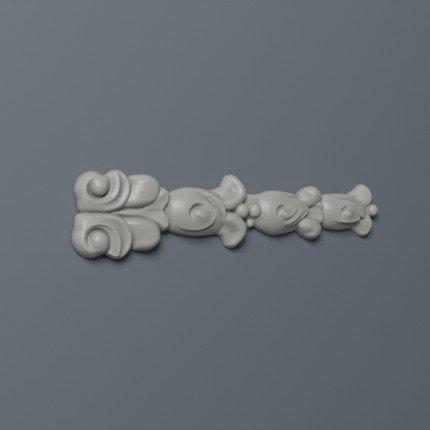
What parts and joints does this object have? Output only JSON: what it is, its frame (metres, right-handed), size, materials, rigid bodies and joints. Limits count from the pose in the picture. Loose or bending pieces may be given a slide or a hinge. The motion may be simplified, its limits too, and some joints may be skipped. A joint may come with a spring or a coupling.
{
  "type": "drop onlay",
  "caption": "Long cast onlay with a mirrored scroll head and tapering husks, flared petals and a bead, flat on its back for fixing to a surface.",
  "frame": {"origin": "on the flat back, on the drop's axis, under the first flower centre", "axes": "+X along the drop from its scroll head towards its closing bead, +Y out of the flat back into the surface that carries it, +Z across the drop; the carving faces -Y"},
  "size_m": [0.2749, 0.018, 0.0653],
  "materials": {
    "cast": "satin matte cast resin, warm light grey"
  },
  "bodies": {
    "root": {"drop_onlay": "cast"}
  },
  "joints": []
}
